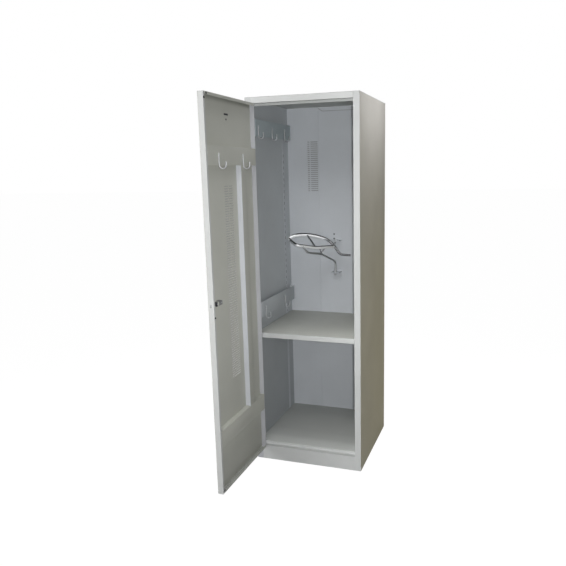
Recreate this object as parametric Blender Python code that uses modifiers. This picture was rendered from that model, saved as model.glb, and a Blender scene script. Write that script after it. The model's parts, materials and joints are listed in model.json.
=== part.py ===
import math

import bmesh
import bpy
from mathutils import Matrix, Vector

# Driving dimensions of the saddle cabinet, in metres.
HEIGHT = 1.800
WIDTH = 0.550
DEPTH = 0.556
SHEET = 0.001            # sheet thickness of every folded panel
JOIN = 0.0003            # clearance between pieces that touch
STILE = 0.030            # face width of the front stiles
STILE_RETURN = 0.025     # how far a stile folds back
RAIL = 0.0275            # face height of the top rail
RAIL_RETURN = 0.0275     # depth of the top rail's fold and of the sill ledge
STOP = 0.011             # door stop that hangs below the top rail
PLINTH = 0.0725          # height of the plinth and of the sill ledge
PLINTH_FOOT = 0.030
FLOOR = 0.0855           # top of the floor panel
FLOOR_FOOT = 0.034
BACK_INSET = 0.003       # back panel set in from the rear edge
LINER_LEFT = 0.180       # left edge of the back liner
LINER_DROP = 0.021       # liner top below the roof
LINER_CORNER = (0.022, 0.014)
SHELF = 0.664            # top of the shelf
SHELF_LIP = 0.025
SHELF_FRONT = 0.035
SHELF_SIDE = 0.0007      # clearance of the shelf to each upright
CLIP_SIZE = (0.016, 0.016, 0.024)
CLIP_SHEET = 0.002
UPRIGHT_FRONT = 0.085    # middle of the front uprights from the front
UPRIGHT_REAR = 0.081     # middle of the rear uprights from the rear edge
UPRIGHT_W = 0.024
UPRIGHT_DROP = 0.080
SLOT_SIZE = (0.008, 0.016)
SLOT_PITCH = 0.032
SLOT_START = 0.048       # first slot below the shelf
SLOT_END = 0.170         # slots stop this far below an upright's top
WALL_RAIL_REACH = 0.025  # front of a wall hook rail from the cabinet's left face
WALL_RAIL_NEAR = 0.060
WALL_RAIL_FAR = 0.024
WALL_RAIL_HEIGHT = 0.079
UPPER_RAIL_DROP = 0.093  # upper rail's top below the roof
LOWER_RAIL_RISE = 0.151  # lower rail's top above the shelf
UPPER_HOOKS = (0.025, 0.200, 0.375)
LOWER_HOOKS = (0.045, 0.320)
HOOK_WIRE = 0.003        # radius of the hook wire
HOOK_DROP = 0.029        # hook top below its rail's top edge
WALL_HOOK = (0.049, 0.0125, 0.016)   # stem, bend radius and tip
DOOR_HOOK = (0.047, 0.0155, 0.0125)
DOOR_GAP = 0.0025        # side clearance of the closed door
DOOR_GAP_Z = 0.003       # clearance above and below the closed door
DOOR_DEPTH = 0.025
DOOR_LIP = 0.012
HINGE_LIP = 0.005
HINGE_X = 0.0225         # door axis
HINGE_Y = -0.0095
HINGE_RISE = 0.1845      # lower hinge above the door's bottom edge
HINGE_DROP = 0.2695      # upper hinge below the door's top edge
HINGE_HALF = 0.038       # height of one hinge half
KNUCKLE = 0.007
HINGE_PIN = 0.0035
PIN_ROOT = 0.010
PIN_LENGTH = 0.030
LEAF_SHEET = 0.003
LEAF_GAP = 0.0004
FRAME_LEAF = 0.0195
DOOR_LEAF = 0.038
DOOR_RAIL_DROP = 0.2035  # upper rail's top below the door's top edge
DOOR_RAIL_RISE = 0.2075  # lower rail's foot above the door's bottom edge
UPPER_DOOR_RAIL = 0.077
LOWER_DOOR_RAIL = 0.080
RAIL_EASE = (0.002, 0.001)
STIFFENER = (0.1155, 0.1705)         # from the door's hinge edge, as are the next ones
DOOR_HOOKS = (0.3825, 0.1500)
LABEL_CLIP = (0.2340, 0.2680)
LABEL_DROP = (0.0655, 0.0725)
LABEL_SHEET = 0.003
DOOR_VENT = (0.2125, 0.2935)
DOOR_VENT_RISE = 0.4695
DOOR_VENT_DROP = 0.3645
DOOR_VENT_PITCH = 0.0108
BACK_VENT = (0.005, 0.064)           # from the liner's left edge
BACK_VENT_DROP = (0.178, 0.449)
BACK_VENT_PITCH = 0.0125
VENT_SLIT = 0.003
VENT_BAR = 0.006         # bar between the two columns of slits
LOCK_SET = 0.060         # lock axis from the door's free edge
LOCK_Z = 0.918
LOCK_HOLE = 0.0093
LOCK_RIM = (0.0105, 0.0120)
LOCK_RISE = (0.0028, 0.0036)
PLUG = 0.0060
KEY_WAY = (0.0016, 0.0072)
LOCK_CASE = (0.021, 0.0295, 0.018)   # to the free edge, to the hinges, height
CASE_DEPTH = 0.0193
BOLT_SIZE = (0.006, 0.010)
BOLT_SET = 0.0095        # bolt's near face from the skin
BOLT_TAIL = 0.006
BOLT_TIP = 0.0015
BOLT_EASE = 0.001
STRIKE_EASE = 0.0025
BUFFER = (0.004, 0.003)
BUFFER_DROP = 0.050      # buffer below the lock axis
RACK_X = 0.101           # swivel axis of the saddle rack from the liner's left edge
RACK_Y = 0.0357          # and in front of the liner
RACK_Z = 1.0785          # underside of the top lug's tongue
RACK_TUBE = 0.0065
RACK_STRUT = 0.004
RACK_BRACE = 0.005
RACK_ARM = 0.0045
RACK_WEB = 0.003
COLLAR = (0.009, 0.006)
LUG_SPAN = 0.179         # between the two tongues
LUG_HALF = 0.025
LUG_PLATE = 0.003
LUG_SHEET = 0.004
LUG_TONGUE = 0.014       # tongue in front of the axis
LUG_TOP = (-0.002, 0.044)            # plate ends from the tongue's underside
LUG_BOTTOM = (-0.0275, 0.0185)
LUG_BOLT = (0.0045, 0.004)
LUG_BOLT_SIDE = 0.015
LUG_BOLT_IN = (0.012, 0.009)
FAR_RAIL = (             # the rack's points are taken from its axis at the top lug
    (0.102, -0.057, -0.070), (0.061, -0.057, -0.068), (0.045, -0.057, -0.0635), (0.032, -0.057, -0.0515),
    (0.006, -0.059, -0.0145), (-0.031, -0.063, 0.016), (-0.072, -0.068, 0.030), (-0.116, -0.075, 0.0385),
    (-0.159, -0.083, 0.042), (-0.197, -0.090, 0.0385), (-0.221, -0.096, 0.0305), (-0.232, -0.1035, 0.022),
    (-0.229, -0.110, 0.0175), (-0.217, -0.125, 0.014))
BUTT = 0.008             # straight end of the far rail before the near rail
NEAR_CORNER = (-0.156, -0.2005, -0.0015)
NEAR_DIP = (-0.073, -0.125, -0.022)
NEAR_END = (0.0115, -0.0585, -0.0225)
STRUT_TOP = (-0.1376, -0.079, 0.0405)
BRACE_TOP = (-0.131, -0.178, -0.008)
BRACE_ELBOW = (-0.108, -0.157, -0.048)
BRACE_KNEE = (-0.050, -0.104, -0.0595)
BRACE_DROP = (-0.005, -0.011, -0.108)
BRACE_DOWN = 0.122       # brace meets the axis below the top lug
ARM_END = (0.006, -0.059, -0.0145)
ARM_DOWN = 0.0115
PIN_OVER = 0.010         # pin ends past their tongues
WEB_ENDS = (0.185, 0.554)            # shares of the run from the dip to the near rail's end
WEB_LIFT = 0.0055        # middle of the web's bend above the middle of the brace

# Derived positions.
TOP = HEIGHT - SHEET - JOIN
BACK_Y = DEPTH - BACK_INSET - SHEET
LINER_Y = BACK_Y - JOIN - SHEET
LINER_TOP = HEIGHT - LINER_DROP
UPRIGHTS = (UPRIGHT_FRONT, DEPTH - UPRIGHT_REAR)
UPRIGHT_TOP = HEIGHT - UPRIGHT_DROP
SLOT_FIRST = SHELF - SLOT_START
SLOT_COUNT = int((UPRIGHT_TOP - SLOT_END - SLOT_FIRST) / SLOT_PITCH) + 1
SKIN_X = HINGE_X - HINGE_Y
EDGE_Y = HINGE_Y + HINGE_X - STILE - DOOR_GAP
DOOR_W = WIDTH - 2 * (STILE + DOOR_GAP)
FREE_Y = EDGE_Y - DOOR_W
DOOR_Z0 = PLINTH + DOOR_GAP_Z
DOOR_Z1 = HEIGHT - RAIL - DOOR_GAP_Z
PAN_IN = SKIN_X + SHEET + JOIN
PAN_OUT = SKIN_X + DOOR_DEPTH
UPPER_RAIL = DOOR_Z1 - DOOR_RAIL_DROP
LOWER_RAIL = DOOR_Z0 + DOOR_RAIL_RISE
LOCK_Y = FREE_Y + LOCK_SET
AXIS_X = LINER_LEFT + RACK_X
AXIS_Y = LINER_Y - RACK_Y
LOW_LUG = RACK_Z - LUG_SPAN
ORIGIN = Vector((WIDTH / 2, (DEPTH + FREE_Y) / 2, 0))

for old in list(bpy.data.objects):
    bpy.data.objects.remove(old, do_unlink=True)

parts = bpy.data.collections.new("saddle_cabinet")
cutters = bpy.data.collections.new("cutters")
bpy.context.scene.collection.children.link(parts)
bpy.context.scene.collection.children.link(cutters)


def finish(slot, color, metallic, roughness):
    mat = bpy.data.materials.new(slot)
    mat.use_nodes = True
    shader = mat.node_tree.nodes["Principled BSDF"]
    shader.inputs["Base Color"].default_value = (*color, 1)
    shader.inputs["Metallic"].default_value = metallic
    shader.inputs["Roughness"].default_value = roughness
    return mat


PAINT = finish("painted_steel", (0.58, 0.59, 0.58), 0.0, 0.45)
CHROME = finish("chrome_tube", (0.75, 0.76, 0.77), 1.0, 0.12)
ZINC = finish("zinc_wire", (0.66, 0.67, 0.68), 1.0, 0.30)
STEEL = finish("bright_steel", (0.55, 0.56, 0.57), 1.0, 0.35)
BLACKED = finish("black_steel", (0.05, 0.05, 0.055), 1.0, 0.45)
DARK = finish("dark_plastic", (0.03, 0.03, 0.035), 0.0, 0.50)
RUBBER = finish("black_rubber", (0.02, 0.02, 0.02), 0.0, 0.80)


def axis_empty(name, x, y, z):
    empty = bpy.data.objects.new(name, None)
    empty.location = Vector((x, y, z)) - ORIGIN
    parts.objects.link(empty)
    return empty


door_axis = axis_empty("door_axis", HINGE_X, HINGE_Y, 0)
plug_axis = axis_empty("plug_axis", SKIN_X, LOCK_Y, LOCK_Z)
rack_axis = axis_empty("rack_axis", AXIS_X, AXIS_Y, 0)


def place(obj, mat, carrier=None):
    obj.data.materials.append(mat)
    parts.objects.link(obj)
    if carrier:
        obj.parent = carrier
        obj.matrix_parent_inverse = Matrix.Translation(-carrier.location)
    return obj


TURNS = {
    "x": Matrix(((0, 0, 1), (1, 0, 0), (0, 1, 0))),
    "y": Matrix(((1, 0, 0), (0, 0, -1), (0, 1, 0))),
    "z": Matrix.Identity(3),
}


def outline(name, axis, low, high, loops):
    curve = bpy.data.curves.new(name, "CURVE")
    curve.dimensions = "2D"
    curve.fill_mode = "BOTH"
    curve.extrude = (high - low) / 2
    for loop in loops:
        spline = curve.splines.new("POLY")
        spline.points.add(len(loop) - 1)
        for point, (u, v) in zip(spline.points, loop):
            point.co = (u, v, 0, 1)
        spline.use_cyclic_u = True
    obj = bpy.data.objects.new(name, curve)
    middle = (low + high) / 2
    shift = {"x": (middle, 0, 0), "y": (0, middle, 0), "z": (0, 0, middle)}[axis]
    obj.matrix_world = Matrix.Translation(Vector(shift) - ORIGIN) @ TURNS[axis].to_4x4()
    return obj


def flat(name, axis, low, high, loops, mat, carrier=None):
    return place(outline(name, axis, low, high, loops), mat, carrier)


def as_mesh(obj, name):
    bpy.context.scene.collection.objects.link(obj)
    bpy.context.view_layer.update()
    graph = bpy.context.evaluated_depsgraph_get()
    mesh = bpy.data.meshes.new_from_object(obj.evaluated_get(graph))
    mesh.transform(obj.matrix_world)
    bm = bmesh.new()
    bm.from_mesh(mesh)
    bmesh.ops.remove_doubles(bm, verts=bm.verts, dist=0.00001)
    bmesh.ops.recalc_face_normals(bm, faces=bm.faces)
    bm.to_mesh(mesh)
    bm.free()
    old = obj.data
    bpy.data.objects.remove(obj, do_unlink=True)
    bpy.data.curves.remove(old)
    return bpy.data.objects.new(name, mesh)


def rect(u0, v0, u1, v1):
    return [(u0, v0), (u1, v0), (u1, v1), (u0, v1)]


def ring(u, v, radius, count=24):
    steps = [2 * math.pi * i / count for i in range(count)]
    return [(u + radius * math.cos(a), v + radius * math.sin(a)) for a in steps]


def box_mesh(name, low, high):
    low, high = Vector(low), Vector(high)
    bm = bmesh.new()
    bmesh.ops.create_cube(bm, size=1)
    size = high - low
    bmesh.ops.scale(bm, vec=size, verts=bm.verts)
    bmesh.ops.translate(bm, vec=(low + high) / 2 - ORIGIN, verts=bm.verts)
    mesh = bpy.data.meshes.new(name)
    bm.to_mesh(mesh)
    bm.free()
    return bpy.data.objects.new(name, mesh)


def rod_mesh(name, start, end, radius, sides=24):
    start, end = Vector(start), Vector(end)
    line = end - start
    bm = bmesh.new()
    bmesh.ops.create_cone(bm, cap_ends=True, segments=sides, radius1=radius, radius2=radius,
                          depth=line.length)
    turn = line.to_track_quat("Z", "Y").to_matrix().to_4x4()
    bmesh.ops.transform(bm, matrix=Matrix.Translation((start + end) / 2 - ORIGIN) @ turn, verts=bm.verts)
    mesh = bpy.data.meshes.new(name)
    bm.to_mesh(mesh)
    bm.free()
    return bpy.data.objects.new(name, mesh)


def turned(name, profile, closed, steps, stand):
    bm = bmesh.new()
    corners = [bm.verts.new((r, 0, z)) for r, z in profile]
    for a, b in zip(corners, corners[1:]):
        bm.edges.new((a, b))
    if closed:
        bm.edges.new((corners[-1], corners[0]))
    mesh = bpy.data.meshes.new(name)
    bm.to_mesh(mesh)
    bm.free()
    obj = bpy.data.objects.new(name, mesh)
    turn = obj.modifiers.new("turn", "SCREW")
    turn.steps = steps
    turn.render_steps = steps
    turn.use_merge_vertices = True
    turn.merge_threshold = 0.00001
    obj.matrix_world = stand
    return obj


def cutter(obj):
    cutters.objects.link(obj)
    obj.hide_render = True
    obj.display_type = "WIRE"
    return obj


def cut(obj, tool, operation="DIFFERENCE"):
    step = obj.modifiers.new("cut", "BOOLEAN")
    step.operation = operation
    step.solver = "EXACT"
    step.object = tool


def wire(name, points, radius, roundness=2):
    curve = bpy.data.curves.new(name, "CURVE")
    curve.dimensions = "3D"
    curve.bevel_depth = radius
    curve.bevel_resolution = roundness
    curve.use_fill_caps = True
    spline = curve.splines.new("POLY")
    spline.points.add(len(points) - 1)
    for point, co in zip(spline.points, points):
        point.co = (*(Vector(co) - ORIGIN), 1)
    return bpy.data.objects.new(name, curve)


def smooth(points, count):
    pts = [Vector(p) for p in points]
    pts = [2 * pts[0] - pts[1]] + pts + [2 * pts[-1] - pts[-2]]
    path = []
    for a, b, c, d in zip(pts, pts[1:], pts[2:], pts[3:]):
        for i in range(count):
            t = i / count
            path.append(0.5 * (2 * b + (c - a) * t + (2 * a - 5 * b + 4 * c - d) * t * t
                               + (3 * b - a - 3 * c + d) * t * t * t))
    path.append(pts[-2])
    return path


def rounded(points, radius, count):
    pts = [Vector(p) for p in points]
    path = [pts[0]]
    for a, b, c in zip(pts, pts[1:], pts[2:]):
        start = b + (a - b).normalized() * radius
        end = b + (c - b).normalized() * radius
        for i in range(count + 1):
            t = i / count
            path.append(start.lerp(b, t).lerp(b.lerp(end, t), t))
    path.append(pts[-1])
    return path


def slits(left, right, low, high, pitch):
    half = (right - left - VENT_BAR) / 2
    count = int((high - low - VENT_SLIT) / pitch) + 1
    rows = [low + pitch * i for i in range(count)]
    return [rect(u, row, u + half, row + VENT_SLIT) for row in rows for u in (left, right - half)]


# Side panels, each with a front and a rear slotted upright on its inside.
side = rect(SHEET + JOIN, 0, DEPTH, TOP)
flat("side_left", "x", 0, SHEET, [side], PAINT)
flat("side_right", "x", WIDTH - SHEET, WIDTH, [side], PAINT)
upright_in = SHEET + JOIN
upright_out = upright_in + SHEET
for label, y in zip(("front", "rear"), UPRIGHTS):
    slots = cutter(box_mesh("slots_" + label, (-0.01, y - SLOT_SIZE[0] / 2, SLOT_FIRST - SLOT_SIZE[1] / 2),
                            (WIDTH + 0.01, y + SLOT_SIZE[0] / 2, SLOT_FIRST + SLOT_SIZE[1] / 2)))
    column = slots.modifiers.new("column", "ARRAY")
    column.count = SLOT_COUNT
    column.use_relative_offset = False
    column.use_constant_offset = True
    column.constant_offset_displace = (0, 0, SLOT_PITCH)
    hands = (("left", upright_in, upright_out), ("right", WIDTH - upright_out, WIDTH - upright_in))
    for hand, x0, x1 in hands:
        upright = box_mesh("upright_%s_%s" % (hand, label), (x0, y - UPRIGHT_W / 2, FLOOR + JOIN),
                           (x1, y + UPRIGHT_W / 2, UPRIGHT_TOP))
        cut(place(upright, PAINT), slots)

# Front frame.
fold = [(0, 0), (STILE, 0), (STILE, STILE_RETURN), (STILE - SHEET, STILE_RETURN),
        (STILE - SHEET, SHEET), (0, SHEET)]
flat("stile_left", "z", 0, TOP, [fold], PAINT)
stile_right = place(as_mesh(outline("fold", "z", 0, TOP, [[(WIDTH - x, y) for x, y in fold]]),
                            "stile_right"), PAINT)
rail_low = HEIGHT - RAIL
flat("top_rail", "x", STILE + JOIN, WIDTH - STILE - JOIN, [[
    (0, TOP), (0, rail_low), (RAIL_RETURN - SHEET, rail_low), (RAIL_RETURN - SHEET, rail_low - STOP),
    (RAIL_RETURN, rail_low - STOP), (RAIL_RETURN, rail_low + SHEET), (SHEET, rail_low + SHEET),
    (SHEET, TOP)]], PAINT)
flat("roof_panel", "z", HEIGHT - SHEET, HEIGHT, [rect(0, 0, WIDTH, DEPTH)], PAINT)

# Back: full sheet with a vent field, and a liner in front of its right part.
vents = slits(LINER_LEFT - BACK_VENT[1], LINER_LEFT - BACK_VENT[0], HEIGHT - BACK_VENT_DROP[1],
              HEIGHT - BACK_VENT_DROP[0], BACK_VENT_PITCH)
flat("back_panel", "y", BACK_Y, BACK_Y + SHEET,
     [rect(SHEET + JOIN, 0, WIDTH - SHEET - JOIN, TOP)] + vents, PAINT)
flat("back_liner", "y", LINER_Y, LINER_Y + SHEET, [[
    (LINER_LEFT, FLOOR + JOIN), (WIDTH - SHEET - JOIN, FLOOR + JOIN), (WIDTH - SHEET - JOIN, LINER_TOP),
    (LINER_LEFT + LINER_CORNER[0], LINER_TOP), (LINER_LEFT, LINER_TOP - LINER_CORNER[1])]], PAINT)

# Base: the floor folds down at the back to a foot, sill and plinth close the front.
heel = BACK_Y - JOIN
foot = heel - FLOOR_FOOT
flat("floor_panel", "x", SHEET + JOIN, WIDTH - SHEET - JOIN, [[
    (RAIL_RETURN, FLOOR), (RAIL_RETURN, FLOOR - SHEET), (heel - SHEET, FLOOR - SHEET), (heel - SHEET, SHEET),
    (foot, SHEET), (foot, 0), (heel, 0), (heel, FLOOR)]], PAINT)
riser_top = FLOOR - SHEET - JOIN
flat("sill", "x", STILE + JOIN, WIDTH - STILE - JOIN, [[
    (SHEET + JOIN, PLINTH - SHEET), (RAIL_RETURN + SHEET, PLINTH - SHEET), (RAIL_RETURN + SHEET, riser_top),
    (RAIL_RETURN, riser_top), (RAIL_RETURN, PLINTH), (SHEET + JOIN, PLINTH)]], PAINT)
flat("plinth_front", "x", STILE + JOIN, WIDTH - STILE - JOIN, [[
    (0, 0), (PLINTH_FOOT, 0), (PLINTH_FOOT, SHEET), (SHEET, SHEET), (SHEET, PLINTH), (0, PLINTH)]], PAINT)

# Shelf tray, open underneath, on four clips.
shelf_left = upright_out + SHELF_SIDE
shelf_back = LINER_Y - JOIN
shelf = place(box_mesh("shelf", (shelf_left, SHELF_FRONT, SHELF - SHELF_LIP),
                       (WIDTH - shelf_left, shelf_back, SHELF)), PAINT)
cut(shelf, cutter(box_mesh("shelf_hollow", (shelf_left + SHEET, SHELF_FRONT + SHEET, SHELF - 2 * SHELF_LIP),
                           (WIDTH - shelf_left - SHEET, shelf_back - SHEET, SHELF - SHEET))))
clip_top = SHELF - SHELF_LIP - JOIN
clip_in = upright_out + JOIN
clip_low = clip_top - CLIP_SIZE[2]
clip_end = clip_in + CLIP_SIZE[0]
clip = [(clip_in, clip_top), (clip_in, clip_low), (clip_in + CLIP_SHEET, clip_low),
        (clip_in + CLIP_SHEET, clip_top - CLIP_SHEET), (clip_end, clip_top - CLIP_SHEET),
        (clip_end, clip_top)]
for label, y in zip(("front", "rear"), UPRIGHTS):
    clip_y = (y - CLIP_SIZE[1] / 2, y + CLIP_SIZE[1] / 2)
    flat("shelf_clip_left_" + label, "y", clip_y[0], clip_y[1], [clip], ZINC)
    flat("shelf_clip_right_" + label, "y", clip_y[0], clip_y[1], [[(WIDTH - x, z) for x, z in clip]], ZINC)


def hook(name, x, y, top, shape, carrier=None):
    stem, bend, tip = shape
    x += JOIN + HOOK_WIRE
    path = [(x, y, top), (x, y, top - stem)]
    for i in range(1, 9):
        a = math.pi * i / 8
        path.append((x + bend - bend * math.cos(a), y, top - stem - bend * math.sin(a)))
    path.append((x + 2 * bend, y, top - stem + tip))
    return place(wire(name, path, HOOK_WIRE, 2), ZINC, carrier)


# Hook rails on the left wall: a plate whose ends fold back to the wall.
near = WALL_RAIL_NEAR
far = DEPTH - WALL_RAIL_FAR
wall = SHEET + JOIN
front = WALL_RAIL_REACH
wall_rails = (("upper", HEIGHT - UPPER_RAIL_DROP, UPPER_HOOKS),
              ("lower", SHELF + LOWER_RAIL_RISE, LOWER_HOOKS))
for label, top, places in wall_rails:
    flat("wall_rail_" + label, "z", top - WALL_RAIL_HEIGHT, top, [[
        (wall, near), (front, near), (front, far), (wall, far), (wall, far - SHEET),
        (front - SHEET, far - SHEET), (front - SHEET, near + SHEET), (wall, near + SHEET)]], PAINT)
    for number, along in enumerate(places, 1):
        hook("wall_hook_%s_%d" % (label, number), front, near + along, top - HOOK_DROP, WALL_HOOK)

# Barrel hinges: each half is a leaf that runs into its knuckle.
leaf_back = -HINGE_Y - LEAF_GAP
leaf_front = leaf_back - LEAF_SHEET
start = math.pi - math.asin(leaf_front / KNUCKLE)
stop = 2 * math.pi + math.radians(82)
turns = [start + (stop - start) * i / 20 for i in range(21)]
knuckle = [(KNUCKLE * math.cos(a), KNUCKLE * math.sin(a)) for a in turns]


def leaf(length):
    return [(-length, leaf_back), (-length, leaf_front)] + knuckle + [(knuckle[-1][0], leaf_back)]


frame_half = [(HINGE_X + u, HINGE_Y + v) for u, v in leaf(FRAME_LEAF)]
door_half = [(HINGE_X + v, HINGE_Y + u) for u, v in leaf(DOOR_LEAF)]
bore = ring(HINGE_X, HINGE_Y, HINGE_PIN + JOIN, 16)
for label, base in zip(("low", "high"), (DOOR_Z0 + HINGE_RISE, DOOR_Z1 - HINGE_DROP)):
    seat = base + HINGE_HALF
    frame_side = place(as_mesh(outline("fold", "z", base, seat, [frame_half]), "hinge_frame_" + label), PAINT)
    pintle = rod_mesh("pintle_" + label, (HINGE_X, HINGE_Y, seat - PIN_ROOT),
                      (HINGE_X, HINGE_Y, seat + PIN_LENGTH), HINGE_PIN, 16)
    cut(frame_side, cutter(pintle), "UNION")
    flat("hinge_door_" + label, "z", seat + JOIN, seat + HINGE_HALF, [door_half, bore], PAINT, door_axis)

# Door pan, standing open at a right angle: skin with vents, then its four folded edges.
holes = [ring(LOCK_Y, LOCK_Z, LOCK_HOLE)]
holes += slits(EDGE_Y - DOOR_VENT[1], EDGE_Y - DOOR_VENT[0], DOOR_Z0 + DOOR_VENT_RISE,
               DOOR_Z1 - DOOR_VENT_DROP, DOOR_VENT_PITCH)
flat("door_skin", "x", SKIN_X, SKIN_X + SHEET, [rect(FREE_Y, DOOR_Z0, EDGE_Y, DOOR_Z1)] + holes,
     PAINT, door_axis)
edge_free = place(as_mesh(outline("fold", "z", DOOR_Z0, DOOR_Z1, [[
    (PAN_IN, FREE_Y), (PAN_OUT, FREE_Y), (PAN_OUT, FREE_Y + DOOR_LIP), (PAN_OUT - SHEET, FREE_Y + DOOR_LIP),
    (PAN_OUT - SHEET, FREE_Y + SHEET), (PAN_IN, FREE_Y + SHEET)]]), "door_edge_free"), PAINT, door_axis)
flat("door_edge_hinge", "z", DOOR_Z0, DOOR_Z1, [[
    (PAN_IN, EDGE_Y), (PAN_OUT, EDGE_Y), (PAN_OUT, EDGE_Y - HINGE_LIP), (PAN_OUT - SHEET, EDGE_Y - HINGE_LIP),
    (PAN_OUT - SHEET, EDGE_Y - SHEET), (PAN_IN, EDGE_Y - SHEET)]], PAINT, door_axis)
span = (FREE_Y + DOOR_LIP + RAIL_EASE[0], EDGE_Y - HINGE_LIP - RAIL_EASE[1])
for label, z, lip in (("top", DOOR_Z1, -1), ("bottom", DOOR_Z0, 1)):
    flat("door_edge_" + label, "y", span[0], span[1], [[
        (PAN_IN, z), (PAN_OUT, z), (PAN_OUT, z + lip * DOOR_LIP), (PAN_OUT - SHEET, z + lip * DOOR_LIP),
        (PAN_OUT - SHEET, z + lip * SHEET), (PAN_IN, z + lip * SHEET)]], PAINT, door_axis)
door_rails = (("upper", UPPER_RAIL - UPPER_DOOR_RAIL, UPPER_RAIL),
              ("lower", LOWER_RAIL, LOWER_RAIL + LOWER_DOOR_RAIL))
for label, low, high in door_rails:
    flat("door_rail_" + label, "y", span[0], span[1], [[
        (PAN_IN, high), (PAN_OUT, high), (PAN_OUT, low), (PAN_IN, low), (PAN_IN, low + SHEET),
        (PAN_OUT - SHEET, low + SHEET), (PAN_OUT - SHEET, high - SHEET), (PAN_IN, high - SHEET)]],
        PAINT, door_axis)
y0, y1 = EDGE_Y - STIFFENER[1], EDGE_Y - STIFFENER[0]
flat("door_stiffener", "z", LOWER_RAIL + LOWER_DOOR_RAIL + JOIN, UPPER_RAIL - UPPER_DOOR_RAIL - JOIN, [[
    (PAN_IN, y0), (PAN_OUT, y0), (PAN_OUT, y1), (PAN_IN, y1), (PAN_IN, y1 - SHEET),
    (PAN_OUT - SHEET, y1 - SHEET), (PAN_OUT - SHEET, y0 + SHEET), (PAN_IN, y0 + SHEET)]], PAINT, door_axis)
for number, along in enumerate(DOOR_HOOKS, 1):
    hook("door_hook_%d" % number, PAN_OUT, EDGE_Y - along, UPPER_RAIL - HOOK_DROP, DOOR_HOOK, door_axis)
buffer_y = FREE_Y + DOOR_LIP / 2
buffer_z = LOCK_Z - BUFFER_DROP
buffer_x = PAN_OUT + JOIN
place(rod_mesh("door_buffer", (buffer_x, buffer_y, buffer_z), (buffer_x + BUFFER[1], buffer_y, buffer_z),
               BUFFER[0], 16), RUBBER, door_axis)
flat("label_clip", "x", PAN_IN, PAN_IN + LABEL_SHEET, [rect(
    EDGE_Y - LABEL_CLIP[1], DOOR_Z1 - LABEL_DROP[1], EDGE_Y - LABEL_CLIP[0], DOOR_Z1 - LABEL_DROP[0])],
    DARK, door_axis)

# Lock: cylinder through the skin, plug that turns in it, case and sliding bolt behind.
plug_way = PLUG + JOIN
lock_stand = Matrix.Translation(Vector((SKIN_X, LOCK_Y, LOCK_Z)) - ORIGIN)
place(turned("lock_cylinder", [
    (LOCK_HOLE - JOIN, JOIN), (LOCK_HOLE - JOIN, -SHEET), (plug_way, -SHEET), (plug_way, LOCK_RISE[1]),
    (LOCK_RIM[0], LOCK_RISE[1]), (LOCK_RIM[1], LOCK_RISE[0]), (LOCK_RIM[1], JOIN)], True, 32,
    lock_stand @ Matrix.Rotation(math.radians(-90), 4, "Y")), STEEL, door_axis)
plug_face = SKIN_X - LOCK_RISE[1]
lock_plug = place(rod_mesh("lock_plug", (plug_face, LOCK_Y, LOCK_Z), (SKIN_X + SHEET, LOCK_Y, LOCK_Z),
                           PLUG, 24), STEEL, plug_axis)
key_half = (KEY_WAY[0] / 2, KEY_WAY[1] / 2)
cut(lock_plug, cutter(box_mesh("key_way", (plug_face - SHEET, LOCK_Y - key_half[0], LOCK_Z - key_half[1]),
                               (plug_face + 2 * SHEET, LOCK_Y + key_half[0], LOCK_Z + key_half[1]))))
case_half = LOCK_CASE[2] / 2
lock_case = place(box_mesh("lock_case", (PAN_IN, LOCK_Y - LOCK_CASE[0], LOCK_Z - case_half),
                           (SKIN_X + CASE_DEPTH, LOCK_Y + LOCK_CASE[1], LOCK_Z + case_half)), DARK, door_axis)
bolt_x = (SKIN_X + BOLT_SET, SKIN_X + BOLT_SET + BOLT_SIZE[0])
bolt_y = (FREE_Y + BOLT_TIP, LOCK_Y + BOLT_TAIL)
bolt_half = BOLT_SIZE[1] / 2
bolt_z = (LOCK_Z - bolt_half, LOCK_Z + bolt_half)
cut(lock_case, cutter(box_mesh("bolt_way", (bolt_x[0] - JOIN, bolt_y[0], bolt_z[0] - JOIN),
                               (bolt_x[1] + JOIN, bolt_y[1] + JOIN, bolt_z[1] + JOIN))))
place(box_mesh("lock_bolt", (bolt_x[0], bolt_y[0], bolt_z[0]), (bolt_x[1], bolt_y[1], bolt_z[1])),
      BLACKED, plug_axis)
cut(edge_free, cutter(box_mesh("bolt_slot", (bolt_x[0] - BOLT_EASE, FREE_Y - DOOR_LIP, bolt_z[0] - BOLT_EASE),
                               (bolt_x[1] + BOLT_EASE, FREE_Y + BOLT_TIP, bolt_z[1] + BOLT_EASE))))
strike_y = (BOLT_SET - BOLT_EASE, BOLT_SET + BOLT_SIZE[0] + BOLT_EASE)
cut(stile_right, cutter(box_mesh(
    "strike_slot", (WIDTH - STILE - 2 * SHEET, strike_y[0], bolt_z[0] - STRIKE_EASE),
    (WIDTH - STILE + 2 * SHEET, strike_y[1], bolt_z[1] + STRIKE_EASE))))

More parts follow.
